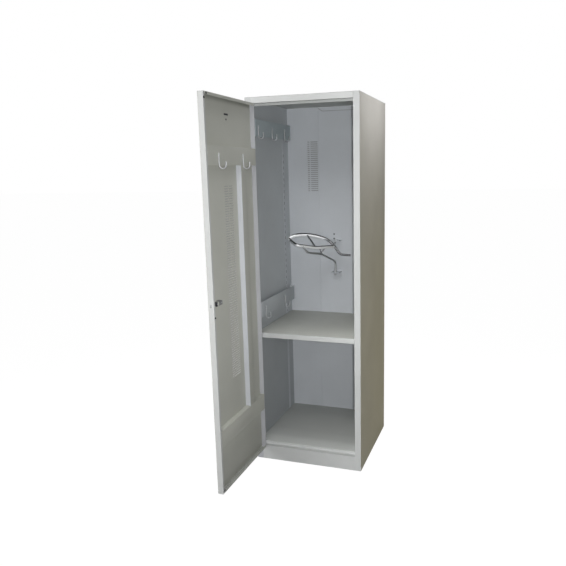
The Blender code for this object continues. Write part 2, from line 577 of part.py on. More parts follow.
# Saddle rack lugs: plates on the back liner, each with a tongue that takes a pin end of the rack.
lug_back = LINER_Y - JOIN
lug_face = lug_back - LUG_PLATE
lug_front = AXIS_Y - LUG_TONGUE
bolt_low = lug_face - JOIN
lugs = (("top", RACK_Z, LUG_TOP, RACK_ARM), ("bottom", LOW_LUG, LUG_BOTTOM, RACK_BRACE))
for label, z, ends, pin in lugs:
    low, high = z + ends[0], z + ends[1]
    bracket = [(lug_front, z), (lug_face, z), (lug_face, low), (lug_back, low), (lug_back, high),
               (lug_face, high), (lug_face, z + LUG_SHEET), (lug_front, z + LUG_SHEET)]
    lug = place(as_mesh(outline("fold", "x", AXIS_X - LUG_HALF, AXIS_X + LUG_HALF, [bracket]),
                        "rack_lug_" + label), PAINT)
    cut(lug, cutter(rod_mesh("pin_way_" + label, (AXIS_X, AXIS_Y, z - LUG_SHEET),
                             (AXIS_X, AXIS_Y, z + 2 * LUG_SHEET), pin + JOIN)))
    for number, bolt in enumerate((low + LUG_BOLT_IN[0], high - LUG_BOLT_IN[1]), 1):
        place(rod_mesh("rack_bolt_%s_%d" % (label, number), (AXIS_X - LUG_BOLT_SIDE, bolt_low, bolt),
                       (AXIS_X - LUG_BOLT_SIDE, bolt_low - LUG_BOLT[1], bolt), LUG_BOLT[0], 6), STEEL)


def from_axis(point):
    return Vector((AXIS_X, AXIS_Y, RACK_Z)) + Vector(point)


# Far rail: bridle tail, knee, saddle crest and the turn into the end bow.
far_points = [from_axis(p) for p in FAR_RAIL]
corner = from_axis(NEAR_CORNER)
bow = (corner - far_points[-1]).normalized()
butt = far_points[-1] + bow * BUTT
far_path = smooth(far_points, 4) + [butt]
place(wire("rack_far_rail", far_path, RACK_TUBE, 4), CHROME, rack_axis)
far_way = cutter(as_mesh(wire("bend", far_path, RACK_TUBE + JOIN, 4), "far_way"))

# Near rail: end bow, corner, dip and the run back to the far rail.
dip = from_axis(NEAR_DIP)
near_end = from_axis(NEAR_END)
near_path = rounded([butt + bow * JOIN, corner, dip, near_end], 0.020, 6)
near_rail = place(as_mesh(wire("bend", near_path, RACK_TUBE, 4), "rack_near_rail"), CHROME, rack_axis)
cut(near_rail, far_way)
near_way = cutter(as_mesh(wire("bend", near_path, RACK_TUBE + JOIN, 4), "near_way"))

# Strut and web between the rails, each coped to the tubes it meets.
strut = place(rod_mesh("rack_strut", from_axis(STRUT_TOP), dip, RACK_STRUT, 12), CHROME, rack_axis)
cut(strut, far_way)
cut(strut, near_way)
knee = from_axis(BRACE_KNEE)
web_path = rounded([dip.lerp(near_end, WEB_ENDS[0]), knee + Vector((0, 0, WEB_LIFT)),
                    dip.lerp(near_end, WEB_ENDS[1])], 0.006, 5)
web = place(as_mesh(wire("bend", web_path, RACK_WEB, 2), "rack_web"), CHROME, rack_axis)
cut(web, near_way)

# Brace under the near rail; its lower end is the pin in the bottom lug, above it sits a collar.
brace_path = rounded([from_axis(BRACE_TOP), from_axis(BRACE_ELBOW), knee, from_axis(BRACE_DROP),
                      from_axis((0, 0, -BRACE_DOWN)), (AXIS_X, AXIS_Y, LOW_LUG - PIN_OVER)], 0.009, 5)
brace = place(as_mesh(wire("bend", brace_path, RACK_BRACE, 3), "rack_brace"), CHROME, rack_axis)
cut(brace, near_way)
cut(web, cutter(as_mesh(wire("bend", brace_path, RACK_BRACE + JOIN, 3), "brace_way")))
collar_low = LOW_LUG + LUG_SHEET + JOIN
flat("rack_collar", "z", collar_low, collar_low + COLLAR[1],
     [ring(AXIS_X, AXIS_Y, COLLAR[0]), ring(AXIS_X, AXIS_Y, RACK_BRACE + JOIN)], STEEL, rack_axis)

# Arm from the far rail to the axis, turned up into the top lug.
arm_path = rounded([from_axis(ARM_END), from_axis((0, 0, -ARM_DOWN)),
                    (AXIS_X, AXIS_Y, RACK_Z + LUG_SHEET + PIN_OVER)], 0.008, 6)
arm = place(as_mesh(wire("bend", arm_path, RACK_ARM, 3), "rack_arm"), CHROME, rack_axis)
cut(arm, far_way)
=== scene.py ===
import json
import math

import bmesh
import bpy
from mathutils import Matrix, Vector


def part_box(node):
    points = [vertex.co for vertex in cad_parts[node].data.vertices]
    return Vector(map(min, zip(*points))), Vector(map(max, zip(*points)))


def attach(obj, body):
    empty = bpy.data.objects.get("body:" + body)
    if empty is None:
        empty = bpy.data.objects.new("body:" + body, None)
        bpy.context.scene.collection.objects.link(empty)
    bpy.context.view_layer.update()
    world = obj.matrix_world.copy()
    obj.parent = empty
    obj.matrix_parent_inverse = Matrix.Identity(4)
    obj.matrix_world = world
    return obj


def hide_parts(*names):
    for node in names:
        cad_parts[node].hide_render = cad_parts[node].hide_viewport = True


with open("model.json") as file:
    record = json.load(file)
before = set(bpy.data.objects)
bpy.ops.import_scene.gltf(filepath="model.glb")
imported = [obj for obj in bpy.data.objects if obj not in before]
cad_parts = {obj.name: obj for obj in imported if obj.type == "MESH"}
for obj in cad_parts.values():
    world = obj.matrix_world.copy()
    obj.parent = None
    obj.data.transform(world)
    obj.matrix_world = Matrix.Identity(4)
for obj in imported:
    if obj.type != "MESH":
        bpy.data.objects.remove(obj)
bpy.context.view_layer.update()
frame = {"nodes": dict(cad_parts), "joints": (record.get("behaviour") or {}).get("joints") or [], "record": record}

nodes = frame["nodes"]
scene = bpy.context.scene
scene.view_settings.view_transform = "Standard"

# camera at the photo's viewpoint, a little right of the open door
cameraView = {
    "place": (0.9296, -2.6606, 1.4504),
    "yaw": 18.381,  # degrees to the left
    "pitch": 10.913,  # degrees down
    "roll": -1.052,
    "lens": 37.80,
    "sensor": 36,
    "shift": (-0.0566, 0.0079),
    "sight": 60,  # nothing further away is drawn
}


def setCamera(view):
    data = bpy.data.cameras.new("photoCamera")
    data.lens = view["lens"]
    data.sensor_width = view["sensor"]
    data.shift_x, data.shift_y = view["shift"]
    data.clip_end = view["sight"]
    camera = bpy.data.objects.new("photoCamera", data)
    turn = Matrix.Rotation(math.radians(view["yaw"]), 4, "Z")
    turn = turn @ Matrix.Rotation(math.radians(90 - view["pitch"]), 4, "X")
    turn = turn @ Matrix.Rotation(math.radians(view["roll"]), 4, "Z")
    camera.matrix_world = Matrix.Translation(view["place"]) @ turn
    scene.collection.objects.link(camera)
    scene.camera = camera


setCamera(cameraView)
print("camera set")

# studio: white floor and world for the camera, soft lamps for the cabinet
studio = {
    "floorSize": 90.0,
    "floorTone": 0.30,
    "floorWhite": 0.85,  # how far the floor goes to plain white for the camera
    "floorGlow": 1.165,
    "worldTone": (0.90, 0.95, 1.0),
    "worldLevel": 0.015,
    "lamps": [  # name, place, aimed at, size, watts, spread in degrees, colour
        ("keyBox", (0.970, -2.650, 1.452), (0.0, 0.0, 0.95), (0.06, 0.05), 39, 180, (0.98, 0.99, 1.0)),
        ("ceilingBox", (0.0, -2.5, 3.7), (0.0, 0.0, 1.0), (1.4, 1.2), 33, 180, (1.0, 1.0, 1.0)),
        ("frontBox", (-2.0, -3.6, 1.8), (0.0, 0.0, 1.0), (1.5, 1.5), 45, 180, (1.0, 1.0, 1.0)),
        ("doorBox", (0.62, -1.25, 0.95), (-0.27, -0.25, 0.95), (0.4, 0.4), 0.7, 100, (1.0, 1.0, 1.0)),
        ("sideLamp", (0.60, 0.26, 2.07), (0.275, 0.26, 1.70), (0.66, 0.3), 0.88, 74, (0.91, 0.90, 1.0)),
        ("warmBox", (2.0, 2.2, 0.45), (0.275, 0.25, 0.35), (0.8, 0.8), 2.8, 90, (1.0, 0.84, 0.40)),
        ("leftBox", (-3.6, 0.4, 1.6), (-0.2, 0.1, 1.0), (1.8, 1.6), 11, 70, (1.0, 1.0, 1.0)),
        ("roofBox", (0.0, 0.30, 3.20), (0.0, 0.28, 1.8), (0.9, 0.9), 0.9, 50, (1.0, 1.0, 1.0)),
        ("rearBox", (-0.6, 4.2, 1.8), (0.0, 0.5, 1.0), (1.8, 1.6), 13, 70, (1.0, 1.0, 1.0)),
    ],
}


def combine(tree, operation, first, second):
    node = tree.nodes.new("ShaderNodeMath")
    node.operation = operation
    for socket, value in zip(node.inputs, (first, second)):
        if isinstance(value, float):
            socket.default_value = value
        else:
            tree.links.new(value, socket)
    return node.outputs[0]


def whiteForCamera(tree, share):
    rays = tree.nodes.new("ShaderNodeLightPath").outputs
    seen = combine(tree, "MAXIMUM", rays["Is Camera Ray"], rays["Is Glossy Ray"])
    seen = combine(tree, "MAXIMUM", seen, rays["Is Transmission Ray"])
    return combine(tree, "MULTIPLY", seen, share)


def mixSurface(tree, output, factor, first, second):
    mix = tree.nodes.new("ShaderNodeMixShader")
    for socket, source in zip(mix.inputs, (factor, first, second)):
        tree.links.new(source, socket)
    tree.links.new(mix.outputs[0], tree.nodes[output].inputs["Surface"])


def buildFloor(setup):
    bm = bmesh.new()
    bmesh.ops.create_grid(bm, x_segments=1, y_segments=1, size=setup["floorSize"] / 2)
    mesh = bpy.data.meshes.new("studioFloor")
    bm.to_mesh(mesh)
    bm.free()
    floor = bpy.data.objects.new("studioFloor", mesh)
    scene.collection.objects.link(floor)
    mat = bpy.data.materials.new("studioFloor")
    mat.use_nodes = True
    tree = mat.node_tree
    tree.nodes.remove(tree.nodes["Principled BSDF"])
    matt = tree.nodes.new("ShaderNodeBsdfDiffuse")
    matt.inputs["Color"].default_value = (setup["floorTone"],) * 3 + (1,)
    white = tree.nodes.new("ShaderNodeEmission")
    white.inputs["Strength"].default_value = setup["floorGlow"]
    seen = whiteForCamera(tree, setup["floorWhite"])
    mixSurface(tree, "Material Output", seen, matt.outputs[0], white.outputs[0])
    mesh.materials.append(mat)


def buildWorld(setup):
    world = bpy.data.worlds.new("studioWorld")
    world.use_nodes = True
    scene.world = world
    tree = world.node_tree
    dim = tree.nodes["Background"]
    dim.inputs["Color"].default_value = (*setup["worldTone"], 1)
    dim.inputs["Strength"].default_value = setup["worldLevel"]
    white = tree.nodes.new("ShaderNodeBackground")
    white.inputs["Color"].default_value = (1, 1, 1, 1)
    mixSurface(tree, "World Output", whiteForCamera(tree, 1.0), dim.outputs[0], white.outputs[0])


def hangLamps(setup):
    for name, place, aim, size, watts, spread, colour in setup["lamps"]:
        data = bpy.data.lights.new(name, "AREA")
        data.shape = "RECTANGLE"
        data.size, data.size_y = size
        data.energy = watts
        data.spread = math.radians(spread)
        data.color = colour
        lamp = bpy.data.objects.new(name, data)
        turn = (Vector(aim) - Vector(place)).to_track_quat("-Z", "Y")
        lamp.matrix_world = Matrix.Translation(place) @ turn.to_matrix().to_4x4()
        lamp.visible_camera = False
        scene.collection.objects.link(lamp)


buildFloor(studio)
buildWorld(studio)
hangLamps(studio)
print("studio lit")

# finishes: each one reads Object coordinates, so grain has a real size in metres
noiseSpan = (0.3, 0.7)  # most of a noise pattern lies between these values
noiseDetail = {"speck": 1.0, "grain": 2.0, "cloud": 3.0}
noStreak = (1, 1, 1)  # grain as long as it is wide


def startFinish(name, metal, specular=0.5):
    mat = bpy.data.materials.new(name)
    mat.use_nodes = True
    shader = mat.node_tree.nodes["Principled BSDF"]
    shader.inputs["Metallic"].default_value = metal
    shader.inputs["Specular IOR Level"].default_value = specular
    return mat, mat.node_tree, shader


def grain(tree, scale, kind="grain", stretch=noStreak):
    place = tree.nodes.new("ShaderNodeTexCoord")
    turn = tree.nodes.new("ShaderNodeMapping")
    turn.inputs["Scale"].default_value = stretch
    tree.links.new(place.outputs["Object"], turn.inputs["Vector"])
    noise = tree.nodes.new("ShaderNodeTexNoise")
    noise.inputs["Scale"].default_value = scale
    noise.inputs["Detail"].default_value = noiseDetail[kind]
    tree.links.new(turn.outputs[0], noise.inputs["Vector"])
    return noise.outputs["Fac"]


def objectAxis(tree, axis):
    place = tree.nodes.new("ShaderNodeTexCoord")
    split = tree.nodes.new("ShaderNodeSeparateXYZ")
    tree.links.new(place.outputs["Object"], split.inputs[0])
    return split.outputs[axis]


def ramp(tree, factor, stops):
    node = tree.nodes.new("ShaderNodeValToRGB")
    band = node.color_ramp
    band.elements[0].position, band.elements[0].color = stops[0][0], (*stops[0][1], 1)
    band.elements[1].position, band.elements[1].color = stops[-1][0], (*stops[-1][1], 1)
    for spot, colour in stops[1:-1]:
        band.elements.new(spot).color = (*colour, 1)
    tree.links.new(factor, node.inputs["Fac"])
    return node.outputs["Color"]


def clouded(tree, noise, dark, light, span=noiseSpan):
    return ramp(tree, noise, list(zip(span, (dark, light))))


def between(tree, factor, low, high, span=noiseSpan):
    node = tree.nodes.new("ShaderNodeMapRange")
    for socket, value in zip(("From Min", "From Max", "To Min", "To Max"), (*span, low, high)):
        node.inputs[socket].default_value = value
    tree.links.new(factor, node.inputs["Value"])
    return node.outputs["Result"]


def blendColour(tree, factor, first, second, kind="MIX"):
    node = tree.nodes.new("ShaderNodeMix")
    node.data_type = "RGBA"
    node.blend_type = kind
    if isinstance(factor, float):
        node.inputs["Factor"].default_value = factor
    else:
        tree.links.new(factor, node.inputs["Factor"])
    tree.links.new(first, node.inputs["A"])
    tree.links.new(second, node.inputs["B"])
    return node.outputs["Result"]


def bump(tree, shader, height, strength, depth):
    node = tree.nodes.new("ShaderNodeBump")
    node.inputs["Strength"].default_value = strength
    node.inputs["Distance"].default_value = depth
    tree.links.new(height, node.inputs["Height"])
    tree.links.new(node.outputs[0], shader.inputs["Normal"])


def tint(colour, share):
    return tuple(c * share for c in colour)


powderCoat = {
    "colour": (0.62, 0.63, 0.62),
    "patchSize": 4.0,  # noise scale of the slow tone changes
    "patchDepth": (0.05, 0.03),  # how much darker and how much lighter
    "speckSize": 900.0,
    "speckSpan": (0.35, 0.6),
    "speckTone": (0.94, 0.94, 0.94),
    "glossSize": 14.0,
    "gloss": (0.50, 0.62),
    "peelSize": 420.0,  # orange peel of the coat
    "peelStrength": 0.35,
    "peelDepth": 0.00025,
    "sheen": 0.16,  # specular level, low for a matt coat
}
# lit and shaded copies of the one coat: the tone against the colour above paints light and shade on the nodes that
# wear it painted shade pairs a depth (Y) or a height (Z) with the share of the tone that is left there
shadedCoatCopies = {
    "powderCoat": {},  # plain, for all other sheets
    # painted shade: darker and bluer inside the cabinet, where less light reaches
    "insideShadeCoat": {
        "tone": (0.88, 0.90, 0.96),
        "nodes": ["back_liner", "back_panel", "upright_left_front", "upright_left_rear",
                  "rack_lug_top", "rack_lug_bottom"],
    },
    # painted shade: darker and bluer on the inner left wall, darker still towards the bottom
    "wallCoat": {
        "tone": (0.84, 0.87, 0.92),
        "nodes": ["side_left", "wall_rail_lower"],
        "along": "Z",
        "dust": [(0.08, 0.75), (0.40, 0.85), (0.75, 0.88), (0.95, 1.0), (1.80, 1.0)],
    },
    # painted shade on the upper wall rail, which faces away from the light
    "railCoat": {"tone": (0.70, 0.78, 0.83), "nodes": ["wall_rail_upper"]},
    "warmCoat": {  # top of the shelf: painted light, lighter than the plain coat, and painted shade deeper into the cabinet
        "tone": (1.40, 1.39, 1.32),
        "along": "Y",
        "dust": [(0.0, 1.0), (0.04, 0.97), (0.21, 0.75), (0.41, 0.62)],
    },
    "sideCoat": {"tone": (1.0, 0.965, 0.86), "sheen": 0.02, "nodes": ["side_right"]},  # painted warm light: yellow tint on the outer right side
    # painted shade on the hinge edge and left stile, in the open door's shade
    "hingeCoat": {"tone": (0.79, 0.785, 0.835), "nodes": ["door_edge_hinge", "stile_left"]},
    # painted light and shade on the floor: lighter than the plain coat at the front, darker deeper in
    "floorCoat": {
        "tone": (1.26, 1.27, 1.25),
        "nodes": ["floor_panel"],
        "along": "Y",
        "dust": [(0.0, 1.0), (0.06, 0.90), (0.10, 0.73), (0.18, 0.60), (0.40, 0.49)],
    },
    # painted shade under the roof and on the top rail's faces behind its front
    "roofCoat": {"tone": (0.79, 0.80, 0.79), "nodes": ["roof_panel"]},
    # slight painted shade on the door's free edge
    "edgeCoat": {"tone": (0.96, 0.955, 0.95), "nodes": ["door_edge_free"]},
    # painted light: the top rail's front lighter than the plain coat
    "topCoat": {"tone": (1.07, 1.065, 1.065), "nodes": ["top_rail"]},
    # painted shade on the door's inside: darker and warmer on its rails and edges
    "doorCoat": {
        "tone": (0.93, 0.92, 0.84),
        "nodes": ["door_rail_upper", "door_rail_lower", "door_edge_top", "door_edge_bottom"],
    },
    "skinCoat": {  # painted shade: darker and warmer towards the bottom, under the upper rail and under the door's top edge, slightly lighter between
        "tone": (0.93, 0.92, 0.84),
        "nodes": ["door_skin"],
        "along": "Z",
        "dust": [(0.08, 0.85), (0.20, 0.88), (0.26, 0.97), (0.55, 0.97), (0.90, 1.02), (1.42, 1.03),
                 (1.475, 0.88), (1.566, 1.05), (1.68, 1.05), (1.742, 0.93), (1.758, 0.58)],
    },
    # painted shade, slightly darker and bluer, on the door's stiffener
    "stiffCoat": {"tone": (0.94, 0.95, 1.01), "nodes": ["door_stiffener"]},
    "dustyCoat": {"tone": (0.50, 0.50, 0.51)},  # painted shade in the back slits and under the liner's rolled top edge
    "creaseShadeCoat": {"tone": (0.71, 0.71, 0.675)},  # lighter painted shade in the door's slits and along its bottom crease
}


def paintFinish(name, look, batch):
    mat, tree, shader = startFinish(name, 0.0, batch.get("sheen", look["sheen"]))
    colour = tuple(c * s for c, s in zip(look["colour"], batch.get("tone", (1.0, 1.0, 1.0))))
    darker, lighter = look["patchDepth"]
    patches = grain(tree, look["patchSize"], "cloud")
    slow = clouded(tree, patches, tint(colour, 1 - darker), tint(colour, 1 + lighter))
    specks = grain(tree, look["speckSize"], "speck")
    fast = clouded(tree, specks, look["speckTone"], (1.0, 1.0, 1.0), look["speckSpan"])
    coat = blendColour(tree, 1.0, slow, fast, "MULTIPLY")
    # painted shade: the tone is scaled along Y or Z by the given pairs
    if "dust" in batch:
        first, last = batch["dust"][0][0], batch["dust"][-1][0]
        reach = between(tree, objectAxis(tree, batch["along"]), 0.0, 1.0, (first, last))
        stops = [((place - first) / (last - first), (share,) * 3) for place, share in batch["dust"]]
        coat = blendColour(tree, 1.0, coat, ramp(tree, reach, stops), "MULTIPLY")
    rough = between(tree, grain(tree, look["glossSize"], "cloud"), *look["gloss"])
    tree.links.new(coat, shader.inputs["Base Color"])
    tree.links.new(rough, shader.inputs["Roughness"])
    bump(tree, shader, grain(tree, look["peelSize"]), look["peelStrength"], look["peelDepth"])
    return mat


plating = {
    # chrome kept dark: painted shade for the dark surroundings it reflects
    "chrome": {"colour": (0.26, 0.265, 0.27), "gloss": (0.22, 0.34), "metal": 1.0,
               "streak": noStreak, "size": 90.0, "dull": 0.10},
    "zinc": {"colour": (0.47, 0.48, 0.49), "gloss": (0.44, 0.60), "metal": 0.5,
             "streak": noStreak, "size": 160.0, "dull": 0.14},
    # painted shade: darker zinc for the wall hooks inside the cabinet
    "dulled": {"colour": (0.40, 0.41, 0.42), "gloss": (0.48, 0.62), "metal": 0.5,
               "streak": noStreak, "size": 160.0, "dull": 0.14},
    "steel": {"colour": (0.50, 0.51, 0.52), "gloss": (0.26, 0.44), "metal": 1.0,
              "streak": (1, 1, 14), "size": 60.0, "dull": 0.18},
    "blacked": {"colour": (0.035, 0.035, 0.038), "gloss": (0.36, 0.52), "metal": 1.0,
                "streak": (1, 6, 1), "size": 80.0, "dull": 0.3},
}
platedGrain = {"gloss": 2.5, "bump": 6, "strength": 0.12, "depth": 0.0001}  # the first two times the size
# painted reflection on the rails: colours of the bright flank and of the dark top
railLightPaint = {
    "flank": (0.92, 0.93, 0.94),
    "flankDark": 0.92,
    "top": 0.18,  # share of the plating's colour left on top of a rail: painted shade
    "topDark": 0.8,
    "gloss": 0.50,
    "metal": 0.56,
}


def platedFinish(name, look, rubbed=None):
    mat, tree, shader = startFinish(name, look["metal"])
    size, streak = look["size"], look["streak"]
    cloud = grain(tree, size, "cloud", streak)
    colour = clouded(tree, cloud, tint(look["colour"], 1 - look["dull"]), look["colour"])
    rough = between(tree, grain(tree, size * platedGrain["gloss"], "grain", streak), *look["gloss"])
    if rubbed:
        top = tint(look["colour"], railLightPaint["top"])
        colour, rough = paintRailLight(tree, shader, cloud, top, colour, rough, rubbed)
    tree.links.new(colour, shader.inputs["Base Color"])
    tree.links.new(rough, shader.inputs["Roughness"])
    pits = grain(tree, size * platedGrain["bump"], "grain", streak)
    bump(tree, shader, pits, platedGrain["strength"], platedGrain["depth"])
    return mat


# painted reflection between two places along X: a rail's top painted dark and its flank painted bright
def paintRailLight(tree, shader, cloud, top, colour, rough, rubbed):
    start, end, fade = rubbed
    along = objectAxis(tree, "X")
    enter = between(tree, along, 0.0, 1.0, (start - fade, start + fade))
    leave = between(tree, along, 1.0, 0.0, (end - fade, end + fade))
    inSpan = combine(tree, "MULTIPLY", enter, leave)
    under = tree.nodes.new("ShaderNodeAttribute")
    under.attribute_name = "underside"
    litFlankColour = clouded(tree, cloud, tint(railLightPaint["flank"], railLightPaint["flankDark"]), railLightPaint["flank"])
    dull = clouded(tree, cloud, tint(top, railLightPaint["topDark"]), top)
    colour = blendColour(tree, inSpan, colour, blendColour(tree, under.outputs["Fac"], dull, litFlankColour))
    flank = combine(tree, "MULTIPLY", inSpan, under.outputs["Fac"])
    metal = between(tree, flank, 1.0, railLightPaint["metal"], (0.0, 1.0))
    tree.links.new(metal, shader.inputs["Metallic"])
    spanGloss = tree.nodes.new("ShaderNodeMix")
    tree.links.new(inSpan, spanGloss.inputs["Factor"])
    tree.links.new(rough, spanGloss.inputs["A"])
    spanGloss.inputs["B"].default_value = railLightPaint["gloss"]
    return colour, spanGloss.outputs["Result"]


moulded = {
    "dark": {"colour": (0.028, 0.028, 0.032), "gloss": (0.38, 0.55), "size": 700.0, "depth": 0.00015},
    "grey": {"colour": (0.17, 0.17, 0.172), "gloss": (0.40, 0.56), "size": 700.0, "depth": 0.00015},
    "rubber": {"colour": (0.020, 0.020, 0.021), "gloss": (0.70, 0.88), "size": 500.0, "depth": 0.0002},
}
mouldedGrain = {"tone": 120.0, "tints": (0.8, 1.3), "gloss": 60.0, "strength": 0.4}


def mouldedFinish(name, look):
    mat, tree, shader = startFinish(name, 0.0)
    dark, light = (tint(look["colour"], share) for share in mouldedGrain["tints"])
    colour = clouded(tree, grain(tree, mouldedGrain["tone"], "cloud"), dark, light)
    rough = between(tree, grain(tree, mouldedGrain["gloss"]), *look["gloss"])
    tree.links.new(colour, shader.inputs["Base Color"])
    tree.links.new(rough, shader.inputs["Roughness"])
    bump(tree, shader, grain(tree, look["size"]), mouldedGrain["strength"], look["depth"])
    return mat


coats = {name: paintFinish(name, powderCoat, batch) for name, batch in shadedCoatCopies.items()}
coatOf = {node: coats[name] for name, batch in shadedCoatCopies.items() for node in batch.get("nodes", [])}
finishes = {
    "painted_steel": coats["powderCoat"],
    "chrome_tube": platedFinish("chromePlate", plating["chrome"]),
    "zinc_wire": platedFinish("zincPlate", plating["zinc"]),
    "bright_steel": platedFinish("plainSteel", plating["steel"]),
    "black_steel": platedFinish("blackenedSteel", plating["blacked"]),
    "dark_plastic": mouldedFinish("mattPlastic", moulded["dark"]),
    "black_rubber": mouldedFinish("softRubber", moulded["rubber"]),
}
slotOf = {part["node"]: part["material_slot"] for part in frame["record"]["subparts"]}
for name, node in nodes.items():
    node.data.materials.clear()
    node.data.materials.append(coatOf.get(name, finishes[slotOf[name]]))
print("finishes on", len(nodes), "nodes")

# mesh work: limits and steps that all pieces share
meshWork = {
    "sharp": 38,  # degrees between faces that stay a corner
    "hard": 50,  # degrees between faces whose edge is eased
    "flat": 1,  # faces that turn less than this are one
    "facing": 0.7,  # cosine for a face that looks a given way
    "merge": 0.00002,
    "hair": 0.00001,  # lengths this near are the same
    "cut": 0.000001,
}
acrossX = Matrix(((0, 0, 1, 0), (1, 0, 0, 0), (0, 1, 0, 0), (0, 0, 0, 1)))  # stands a flat sheet up, facing X
acrossY = Matrix(((1, 0, 0, 0), (0, 0, -1, 0), (0, 1, 0, 0), (0, 0, 0, 1)))
bodyOf = {node: body for body, names in frame["record"]["behaviour"]["bodies"].items() for node in names}


# every new piece ends here: smooth faces, sharp corners, its finish, its body
def placePiece(bm, name, body, slot, replaced=(), sharp=meshWork["sharp"], finish=None, others=()):
    mesh = bpy.data.meshes.new(name)
    bm.to_mesh(mesh)
    bm.free()
    mesh.shade_smooth()
    mesh.set_sharp_from_angle(angle=math.radians(sharp))
    coat = coatOf.get(replaced[0]) if replaced else None
    mesh.materials.append(finish or coat or finishes[slot])
    for other in others:
        mesh.materials.append(other)
    piece = bpy.data.objects.new(name, mesh)
    scene.collection.objects.link(piece)
    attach(piece, body)
    if replaced:
        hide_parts(*replaced)
    return piece


def pieceName(node, word):
    first, *rest = node.split("_")
    return first + "".join(part.capitalize() for part in rest) + word


def dressNode(bm, node, word, **looks):
    return placePiece(bm, pieceName(node, word), bodyOf[node], slotOf[node], [node], **looks)


def mergedCopy(node):
    bm = bmesh.new()
    bm.from_mesh(nodes[node].data)
    bmesh.ops.remove_doubles(bm, verts=bm.verts, dist=meshWork["merge"])
    bmesh.ops.dissolve_limit(bm, angle_limit=math.radians(meshWork["flat"]), verts=bm.verts, edges=bm.edges)
    return bm


def flatSheet(wide, tall, rows=1):
    bm = bmesh.new()
    bmesh.ops.create_grid(bm, x_segments=1, y_segments=rows, size=0.5)
    bmesh.ops.scale(bm, vec=(wide, tall, 1), verts=bm.verts)
    return bm


def easeEdges(bm, edges, width, steps):
    if edges:
        bmesh.ops.bevel(bm, geom=edges, offset=width, offset_type="OFFSET", affect="EDGES",
                        segments=steps, profile=0.5, material=-1, clamp_overlap=True)


def cutAcross(bm, spot, way):
    bmesh.ops.bisect_plane(bm, geom=bm.verts[:] + bm.edges[:] + bm.faces[:], dist=meshWork["cut"],
                           plane_co=spot, plane_no=way)


def clamped(value):
    return min(1.0, max(0.0, value))


# folded sheet: each long fold gets the radius that a press brake leaves
foldedSheet = {
    "inner": 0.0009,
    "outer": 0.0018,
    "steps": 3,
    "angle": 40,  # degrees, less is no fold
    "shortest": 0.0090,
    "narrowest": 0.0030,  # strips narrower than this are sheet edges, not folds
    "twoTone": {  # painted light and shade: the coat on faces further back than a depth along a direction
        "top_rail": ("roofCoat", (0, -1, 0), 0.004),
        "shelf": ("warmCoat", (0, -1, 0), 0.004),
        "door_stiffener": ("doorCoat", (0, -1, 0), 0.003),
        "door_edge_bottom": ("creaseShadeCoat", (0, 0, 1), 0.0075),
        "stile_left": ("powderCoat", (0, 0, -1), 1.768),
    },
    "nodes": ["stile_left", "stile_right", "top_rail", "floor_panel", "sill", "plinth_front", "shelf",
              "wall_rail_upper", "wall_rail_lower", "rack_lug_top", "rack_lug_bottom",
              "shelf_clip_left_front", "shelf_clip_left_rear",
              "shelf_clip_right_front", "shelf_clip_right_rear",
              "door_edge_free", "door_edge_hinge", "door_edge_top", "door_edge_bottom",
              "door_rail_upper", "door_rail_lower", "door_stiffener"],
}


def foldEdges(bm, look, proud):
    folds = []
    for edge in bm.edges:
        length = edge.calc_length()
        if len(edge.link_faces) != 2 or length < look["shortest"]:
            continue
        if edge.calc_face_angle() < math.radians(look["angle"]) or edge.is_convex != proud:
            continue
        if min(face.calc_area() for face in edge.link_faces) / length >= look["narrowest"]:
            folds.append(edge)
    return folds


def foldSheets(look):
    for node in look["nodes"]:
        bm = mergedCopy(node)
        for proud, radius in ((False, look["inner"]), (True, look["outer"])):
            easeEdges(bm, foldEdges(bm, look, proud), radius, look["steps"])
        others = []
        if node in look["twoTone"]:
            coat, way, depth = look["twoTone"][node]
            way = Vector(way)
            change = max(vert.co.dot(way) for vert in bm.verts) - depth
            cutAcross(bm, way * change, way)
            for face in bm.faces:
                face.material_index = 1 if face.calc_center_median().dot(way) < change else 0
            others = [coats[coat]]
        dressNode(bm, node, "Fold", others=others)


foldSheets(foldedSheet)
print("sheets folded:", len(foldedSheet["nodes"]))

# flat sheets with painted shade inside wear the plain coat outside
outerFace = {"side_left": (-1, 0, 0), "roof_panel": (0, 0, 1)}


def coatOutside(look):
    for node, way in look.items():
        bm = mergedCopy(node)
        for face in bm.faces:
            face.material_index = 1 if face.normal.dot(Vector(way)) > meshWork["facing"] else 0
        dressNode(bm, node, "Sheet", others=[finishes["painted_steel"]])


coatOutside(outerFace)
print("sheets coated:", len(outerFace))

# louvred sheets: slits cut on three sides, each flap pushed out along its lower edge
louvres = {
    "door_skin": {"columns": [(-0.33875, -0.29950), (-0.29700, -0.25775)], "up": (0.545, 1.405),
                  "pitch": 0.0108, "slit": 0.0045, "push": 0.0024, "gauge": 0.001, "coat": "creaseShadeCoat"},
    "back_panel": {"columns": [(-0.1590, -0.1470), (-0.1410, -0.1000)], "up": (1.351, 1.622),
                   "pitch": 0.0110, "slit": 0.0045, "push": 0.0020, "gauge": 0.001, "coat": "dustyCoat"},
}


